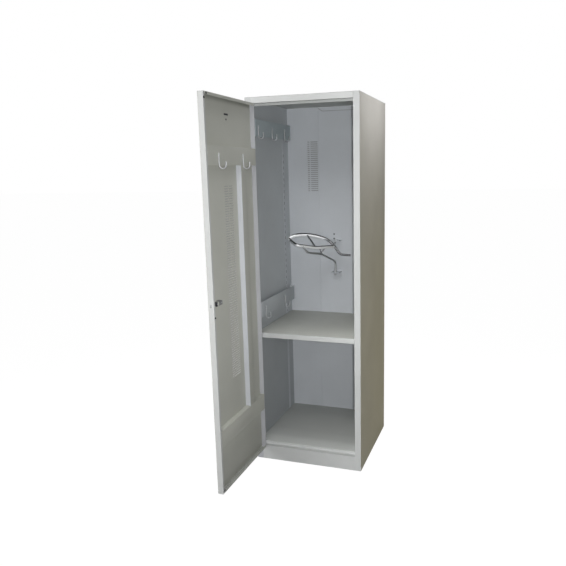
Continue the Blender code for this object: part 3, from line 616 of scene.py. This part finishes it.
def louvreSheet(node, look):
    low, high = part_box(node)
    facesX = high.x - low.x < high.y - low.y
    left, right = (low.y, high.y) if facesX else (low.x, high.x)
    bm = flatSheet(right - left, high.z - low.z)
    bmesh.ops.translate(bm, vec=((left + right) / 2, (low.z + high.z) / 2, 0), verts=bm.verts)
    bottom, top = look["up"]
    slit, hair = look["slit"], meshWork["hair"]
    count = int((top - bottom - slit) / look["pitch"]) + 1
    rows = [bottom + look["pitch"] * i for i in range(count)]
    for column in look["columns"]:
        for u in column:
            cutAcross(bm, (u, 0, 0), (1, 0, 0))
    for row in rows:
        for v in (row, row + slit):
            cutAcross(bm, (0, v, 0), (0, 1, 0))
    flaps = []
    for face in bm.faces:
        middle = face.calc_center_median()
        inColumn = any(a < middle.x < b for a, b in look["columns"])
        if inColumn and any(row < middle.y < row + slit for row in rows):
            flaps.append(face)
    loose = []
    for face in flaps:
        hinge = max(vert.co.y for vert in face.verts) - hair
        loose += [edge for edge in face.edges if min(vert.co.y for vert in edge.verts) < hinge]
    bmesh.ops.split_edges(bm, edges=list(dict.fromkeys(loose)))
    for face in flaps:
        face.material_index = 1
        foot = min(vert.co.y for vert in face.verts) + hair
        lower = [vert for vert in face.verts if vert.co.y < foot]
        bmesh.ops.translate(bm, vec=(0, 0, -look["push"]), verts=lower)
    if facesX:
        stand = Matrix.Translation((high.x, 0, 0)) @ acrossX
    else:
        stand = Matrix.Translation((0, low.y, 0)) @ acrossY
    bmesh.ops.transform(bm, matrix=stand, verts=bm.verts)
    # the flaps wear painted shade on both faces, so a slit reads dark; the rest of the outside wears the plain
    # coat
    slitShade = coats[look["coat"]]
    piece = dressNode(bm, node, "Louvred", others=[slitShade, finishes["painted_steel"], slitShade])
    piece.data.shade_flat()
    wall = piece.modifiers.new("gauge", "SOLIDIFY")
    wall.thickness = look["gauge"]
    wall.offset = -1
    wall.material_offset = 2  # plain coat outside
    return len(flaps)


for node, look in louvres.items():
    print(node, "louvres:", louvreSheet(node, look))

# round stock: every tube and wire is a curve made a mesh, with eased ends
roundStock = {"steps": 4, "ease": 0.35, "rim": 70}  # ease is a share of the radius, rim in degrees
weldBead = {"flat": 0.45, "around": 16, "along": 8}


def smoothPath(points, count):
    pts = [2 * points[0] - points[1]] + list(points) + [2 * points[-1] - points[-2]]
    path = []
    for a, b, c, d in zip(pts, pts[1:], pts[2:], pts[3:]):
        for i in range(count):
            t = i / count
            path.append(0.5 * (2 * b + (c - a) * t + (2 * a - 5 * b + 4 * c - d) * t * t
                               + (3 * b - a - 3 * c + d) * t * t * t))
    path.append(pts[-2])
    return path


def bentPath(points, radius, count):
    path = [points[0]]
    for a, b, c in zip(points, points[1:], points[2:]):
        start = b + (a - b).normalized() * radius
        end = b + (c - b).normalized() * radius
        for i in range(count + 1):
            t = i / count
            path.append(start.lerp(b, t).lerp(b.lerp(end, t), t))
    path.append(points[-1])
    return path


def tubeMesh(path, radius, sides):
    curve = bpy.data.curves.new("tubePath", "CURVE")
    curve.dimensions = "3D"
    curve.bevel_depth = radius
    curve.bevel_resolution = sides // 4 - 1
    curve.use_fill_caps = True
    spline = curve.splines.new("POLY")
    spline.points.add(len(path) - 1)
    for point, spot in zip(spline.points, path):
        point.co = (*spot, 1)
    holder = bpy.data.objects.new("tubePath", curve)
    scene.collection.objects.link(holder)
    bpy.context.view_layer.update()
    mesh = bpy.data.meshes.new_from_object(holder.evaluated_get(bpy.context.evaluated_depsgraph_get()))
    bpy.data.objects.remove(holder)
    bpy.data.curves.remove(curve)
    bm = bmesh.new()
    bm.from_mesh(mesh)
    bpy.data.meshes.remove(mesh)
    bmesh.ops.remove_doubles(bm, verts=bm.verts, dist=meshWork["hair"])
    turned = math.radians(roundStock["rim"])
    rims = [edge for edge in bm.edges if edge.is_manifold and edge.calc_face_angle() > turned]
    easeEdges(bm, rims, radius * roundStock["ease"], roundStock["steps"])
    return bm


def addBead(bm, spot, way, size):
    turn = Vector(way).to_track_quat("Z", "Y").to_matrix().to_4x4()
    shape = Matrix.Translation(spot) @ turn @ Matrix.Diagonal((size, size, size * weldBead["flat"], 1))
    bmesh.ops.create_uvsphere(bm, u_segments=weldBead["around"], v_segments=weldBead["along"],
                              radius=1, matrix=shape)


# saddle rack: bent tubes welded together, two pin ends in the lugs
rack = {
    "lugLift": 0.002,  # places are from the pin axis, this far above the upper lug's low edge
    "farRail": [(0.102, -0.057, -0.070), (0.061, -0.057, -0.068), (0.045, -0.057, -0.0635),
                (0.032, -0.057, -0.0515), (0.006, -0.059, -0.0145), (-0.031, -0.063, 0.016),
                (-0.072, -0.068, 0.030), (-0.116, -0.075, 0.0385), (-0.159, -0.083, 0.042),
                (-0.197, -0.090, 0.0385), (-0.221, -0.096, 0.0305), (-0.232, -0.1035, 0.022),
                (-0.229, -0.110, 0.0175), (-0.217, -0.125, 0.014)],
    "armStart": 4,  # point of the far rail that the arm is welded to
    "nearCorner": (-0.156, -0.2005, -0.0015),
    "nearDip": (-0.073, -0.125, -0.022),
    "nearEnd": (0.0115, -0.0585, -0.0225),
    "nearGap": 0.004,  # the near rail starts this far past the far rail's end
    "strutTop": (-0.1376, -0.079, 0.0405),
    "brace": [(-0.131, -0.178, -0.008), (-0.108, -0.157, -0.048), (-0.050, -0.104, -0.0595),
              (-0.005, -0.011, -0.108), (0.0, 0.0, -0.122)],
    "braceKnee": 2,  # point of the brace under the web
    "armDown": 0.0115,
    "tube": 0.0065,
    "strut": 0.004,
    "braceRod": 0.005,
    "arm": 0.0045,
    "web": 0.003,
    "webEnds": (0.185, 0.554),
    "webRise": 0.0055,
    "sides": 24,
    "curveSteps": 8,
    "bends": {"near": (0.020, 10), "brace": (0.009, 8),  # radius, steps
              "web": (0.006, 6), "arm": (0.008, 8)},
    "bead": 1.22,  # weld bead over the rod's own radius
    "beadSpread": 0.0006,
    "beadReach": 0.9,  # share of the rail's radius from its middle to a bead
    "buttBead": 0.006,  # place of the bead past the far rail's end
    "plated": {"rack_arm": "zinc_wire", "rack_brace": "bright_steel"},
    "oval": {"rack_far_rail": (0.25, 0.85), "rack_near_rail": (0.0, 0.70)},  # pressed taller, up and down
    "bowFade": 0.025,
    "dullFrom": 0.36,  # how far up a rail points where its painted dark top begins
    "shadeFade": 0.14,
    "bowDull": (-0.195, 0.030, 0.50),  # from, fade and how much further up the painted dark top starts on the bow
    "tailTint": {"rack_far_rail": 0.62, "rack_near_rail": 1.15},  # painted reflection outside the lit span: darker on the far rail, lighter on the near rail
    "rubbed": {"rack_far_rail": (-0.245, -0.036, 0.012),  # span of the painted reflection: from, to, fade
               "rack_near_rail": (-0.215, 0.050, 0.05)},
}


# underside marks where a rail gets its painted bright flank against its painted dark top; the rail is also pressed
# oval
def ovalAndShadeRail(bm, node, look, axis, bowEnd):
    bm.normal_update()
    under = bm.verts.layers.float.new("underside")
    start, end, fade = look["rubbed"][node]
    bowFrom, bowFade, bowRise = look["bowDull"]
    up, down = look["oval"][node]
    hasBow = node == "rack_far_rail"
    for vert in bm.verts:
        along = vert.co.x - axis.x
        onBow = clamped((bowFrom - along) / bowFade) if hasBow else 0.0
        dullFrom = look["dullFrom"] + bowRise * onBow
        vert[under] = clamped((dullFrom - vert.normal.z) / look["shadeFade"])
        fromBow = (vert.co.y - bowEnd.y) / look["bowFade"] if hasBow else 1.0
        share = clamped(min((along - start) / fade, (end - along) / fade, fromBow))
        vert.co.z += vert.normal.z * look["tube"] * (up if vert.normal.z > 0 else down) * share


def railLightFinish(node, look, axis):
    start, end, fade = look["rubbed"][node]
    chrome = plating["chrome"]
    tail = dict(chrome, colour=tint(chrome["colour"], look["tailTint"][node]))
    return platedFinish(pieceName(node, "Worn"), tail, (axis.x + start, axis.x + end, fade))


def buildRack(look):
    pivot = next(joint for joint in frame["joints"] if joint["name"] == "rack_swivel")["pos_m"]
    axis = Vector((pivot[0], pivot[1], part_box("rack_lug_top")[0].z + look["lugLift"]))
    pinLow = Vector((axis.x, axis.y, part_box("rack_brace")[0].z))
    pinHigh = Vector((axis.x, axis.y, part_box("rack_arm")[1].z))
    farPoints = [axis + Vector(spot) for spot in look["farRail"]]
    bracePoints = [axis + Vector(spot) for spot in look["brace"]]
    corner, dip, nearEnd = (axis + Vector(look[spot]) for spot in ("nearCorner", "nearDip", "nearEnd"))
    far = smoothPath(farPoints, look["curveSteps"])
    bow = (corner - far[-1]).normalized()
    near = bentPath([far[-1] + bow * look["nearGap"], corner, dip, nearEnd], *look["bends"]["near"])
    strut = [axis + Vector(look["strutTop"]), dip]
    brace = bentPath(bracePoints + [pinLow], *look["bends"]["brace"])
    webStart, webEnd = (dip.lerp(nearEnd, share) for share in look["webEnds"])
    knee = bracePoints[look["braceKnee"]] + Vector((0, 0, look["webRise"]))
    web = bentPath([webStart, knee, webEnd], *look["bends"]["web"])
    elbow = axis - Vector((0, 0, look["armDown"]))
    arm = bentPath([farPoints[look["armStart"]], elbow, pinHigh], *look["bends"]["arm"])
    tubes = {"rack_far_rail": (far, "tube"), "rack_near_rail": (near, "tube"), "rack_strut": (strut, "strut"),
             "rack_brace": (brace, "braceRod"), "rack_web": (web, "web"), "rack_arm": (arm, "arm")}
    for node, (path, gauge) in tubes.items():
        finish = finishes.get(look["plated"].get(node))
        bm = tubeMesh(path, look[gauge], look["sides"])
        if node in look["rubbed"]:
            finish = railLightFinish(node, look, axis)
            ovalAndShadeRail(bm, node, look, axis, far[-1])
        dressNode(bm, node, "Tube", finish=finish)
    beads = bmesh.new()
    reach = look["tube"] * look["beadReach"]
    joins = [(far[-1] + bow * look["buttBead"], bow, "tube", 0.0),  # spot, direction, gauge, shift along it
             (strut[0], strut[1] - strut[0], "strut", reach),
             (strut[1], strut[1] - strut[0], "strut", -reach),
             (brace[0], brace[1] - brace[0], "braceRod", reach),
             (web[0], web[1] - web[0], "web", reach), (web[-1], web[-1] - web[-2], "web", -reach),
             (arm[0], arm[1] - arm[0], "arm", reach), (nearEnd, near[-1] - near[-2], "arm", -reach)]
    for spot, way, gauge, shift in joins:
        inward = way.normalized()
        addBead(beads, spot + inward * shift, inward, look[gauge] * look["bead"] + look["beadSpread"])
    placePiece(beads, "rackWelds", "saddle_rack", "chrome_tube")


buildRack(rack)
print("saddle rack built")

# coat hooks: bent wire, with the weld tacks that hold each stem to its rail
hooks = {
    "wire": 0.003,
    "sides": 20,
    "bendSteps": 16,
    "straight": 0.004,  # above the bend, before the stem
    "wallTip": 0.016,
    "doorTip": 0.0125,
    "tack": 0.0016,
    "tackRises": (0.006, 0.022),  # below the stem's top
    "tackPlace": (0.75, 0.8),  # behind and beside the stem, in wire radii
    "nodes": ["wall_hook_upper_1", "wall_hook_upper_2", "wall_hook_upper_3",
              "wall_hook_lower_1", "wall_hook_lower_2", "door_hook_1", "door_hook_2"],
}
# the wall hooks wear the darker zinc, painted shade inside the cabinet
shadedWallWire = platedFinish("shadedZincWire", plating["dulled"])


def buildHook(node, look):
    low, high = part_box(node)
    wire = look["wire"]
    bend = (high.x - low.x) / 2 - wire
    onDoor = node.startswith("door")
    tip = look["doorTip"] if onDoor else look["wallTip"]
    stem = low.x + wire
    middle = (low.y + high.y) / 2
    turn = low.z + wire + bend
    path = [Vector((stem, middle, high.z)), Vector((stem, middle, turn + look["straight"]))]
    for i in range(look["bendSteps"] + 1):
        angle = math.pi * i / look["bendSteps"]
        path.append(Vector((stem + bend - bend * math.cos(angle), middle, turn - bend * math.sin(angle))))
    path.append(Vector((stem + 2 * bend, middle, turn + tip)))
    bm = tubeMesh(path, wire, look["sides"])
    behind, beside = look["tackPlace"]
    for rise in look["tackRises"]:
        for side in (-1, 1):
            spot = Vector((stem - wire * behind, middle + side * wire * beside, high.z - rise))
            addBead(bm, spot, (0, 0, 1), look["tack"])
    dressNode(bm, node, "Wire", finish=None if onDoor else shadedWallWire)


for node in hooks["nodes"]:
    buildHook(node, hooks)
print("hooks bent:", len(hooks["nodes"]))

# turned and cast parts keep their CAD shape with eased corners
easedParts = {
    "ease": 0.0004,
    "steps": 2,
    "shortest": 0.0008,
    "sharp": 32,
    "nodes": ["hinge_door_high", "hinge_door_low", "hinge_frame_high", "hinge_frame_low",
              "lock_case", "lock_bolt", "lock_cylinder", "lock_plug", "label_clip", "door_buffer",
              "rack_collar", "rack_bolt_top_1", "rack_bolt_top_2",
              "rack_bolt_bottom_1", "rack_bolt_bottom_2"],
    "blacked": ["rack_bolt_top_1", "rack_bolt_top_2"],
    "mouth": (0.007, 0.019),  # where the lock case's collar and lip begin, from its free end
}


def bandFaces(bm, ends):
    for end in ends:
        cutAcross(bm, (0, end, 0), (0, 1, 0))
    for face in bm.faces:
        face.material_index = sum(face.calc_center_median().y < end for end in ends)


def easeParts(look):
    for node in look["nodes"]:
        bm = mergedCopy(node)
        hard = [edge for edge in bm.edges if edge.is_manifold and edge.is_convex
                and edge.calc_face_angle() > math.radians(meshWork["hard"])
                and edge.calc_length() > look["shortest"]]
        easeEdges(bm, hard, look["ease"], look["steps"])
        finish = finishes["black_steel"] if node in look["blacked"] else None
        others = []
        if node == "lock_bolt":  # bare tip past the door's lip
            bandFaces(bm, [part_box("door_edge_free")[1].y])
            others = [finishes["zinc_wire"]]
        if node == "lock_case":  # dark lip, collar in the door's painted shade, grey case
            front = min(vert.co.y for vert in bm.verts)
            bandFaces(bm, [front + reach for reach in look["mouth"]])
            finish = mouldedFinish("greyPlastic", moulded["grey"])
            others = [coats["doorCoat"], finishes["dark_plastic"]]
        dressNode(bm, node, "Eased", sharp=look["sharp"], finish=finish, others=others)


easeParts(easedParts)
print("parts eased:", len(easedParts["nodes"]))

# dark strips stand behind the slotted uprights as painted shade, so a slot reads as a deep hole
slotShadeSheets = {
    "inset": 0.003,
    "ends": 0.010,
    "gauge": 0.0001,
    "rows": 4,
    "nodes": ["upright_left_front", "upright_left_rear", "upright_right_front", "upright_right_rear"],
}


def shadeSlots(look):
    for node in look["nodes"]:
        low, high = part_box(node)
        onLeft = "left" in node
        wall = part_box("side_left")[1].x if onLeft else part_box("side_right")[0].x
        face = low.x if onLeft else high.x
        bm = flatSheet(high.y - low.y - 2 * look["inset"], high.z - low.z - 2 * look["ends"], look["rows"])
        bmesh.ops.transform(bm, matrix=acrossX, verts=bm.verts)
        middle = ((wall + face) / 2, (low.y + high.y) / 2, (low.z + high.z) / 2)
        bmesh.ops.translate(bm, vec=middle, verts=bm.verts)
        bmesh.ops.solidify(bm, geom=bm.faces[:], thickness=look["gauge"])
        placePiece(bm, pieceName(node, "Backing"), "carcass", "dark_plastic")


shadeSlots(slotShadeSheets)
print("slots backed:", len(slotShadeSheets["nodes"]))

# small fittings of the door: a stud under the label clip, corner buffers, screws of the lock case
doorFittings = {
    "stud": (0.0042, 0.0016),  # radius, height
    "studPlace": (-0.2945, 1.680),
    "buffer": (0.0056, 0.0014),  # low enough for the closed door
    "bufferPlaces": [(-0.5050, 1.7635), (-0.5246, 1.7453), (-0.5165, 0.0882)],
    "screw": (0.0030, 0.0010),
    "screwApart": 0.036,
}
dome = {"sides": 24, "top": 0.86, "ease": 0.3, "steps": 3}  # top and ease are shares of radius and height


def domedDisc(bm, spot, radius, height):
    stand = Matrix.Translation(spot) @ Matrix.Rotation(math.radians(90), 4, "Y")
    made = bmesh.ops.create_cone(bm, cap_ends=True, segments=dome["sides"], radius1=radius,
                                 radius2=radius * dome["top"], depth=height,
                                 matrix=stand @ Matrix.Translation((0, 0, height / 2)))
    rims = [edge for vert in made["verts"] for edge in vert.link_edges
            if edge.is_manifold and edge.calc_face_angle() > math.radians(meshWork["hard"])]
    easeEdges(bm, list(dict.fromkeys(rims)), height * dome["ease"], dome["steps"])


def fitDoor(look):
    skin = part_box("door_skin")[1].x
    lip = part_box("door_edge_free")[1].x
    low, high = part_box("lock_case")
    middle = (low + high) / 2
    buffers = [(lip, *place) for place in look["bufferPlaces"]]
    screws = [(high.x, middle.y + side * look["screwApart"] / 2, middle.z) for side in (-1, 1)]
    fittings = [("doorStud", "dark_plastic", "stud", [(skin, *look["studPlace"])]),
                ("cornerBuffers", "black_rubber", "buffer", buffers),
                ("lockScrews", "bright_steel", "screw", screws)]
    for name, slot, kind, spots in fittings:
        bm = bmesh.new()
        for spot in spots:
            domedDisc(bm, spot, *look[kind])
        placePiece(bm, name, "door", slot)


fitDoor(doorFittings)
print("door fitted")

# liner: rolled left edge in the inside's painted shade, and a rolled top edge painted as a dark shade line, with a
# raised end at the seam
linerHem = {"bead": 0.0013, "proud": 0.2, "sides": 12, "foot": 0.002, "rise": 0.014, "slope": 0.025}


def hemLiner(look):
    low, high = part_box("back_liner")
    bead = look["bead"]
    front = low.y - bead * look["proud"]
    left = low.x + bead
    top = high.z - bead
    edge = [Vector((left, front, low.z + look["foot"])), Vector((left, front, top))]
    hem = [Vector((left, front, high.z + look["rise"])), Vector((left + look["slope"], front, top)),
           Vector((high.x - bead, front, top))]
    for name, path, coat in (("linerEdge", edge, "insideShadeCoat"), ("linerHem", hem, "dustyCoat")):
        bm = tubeMesh(path, bead, look["sides"])
        placePiece(bm, name, "carcass", "painted_steel", finish=coats[coat])


hemLiner(linerHem)
print("liner hemmed")
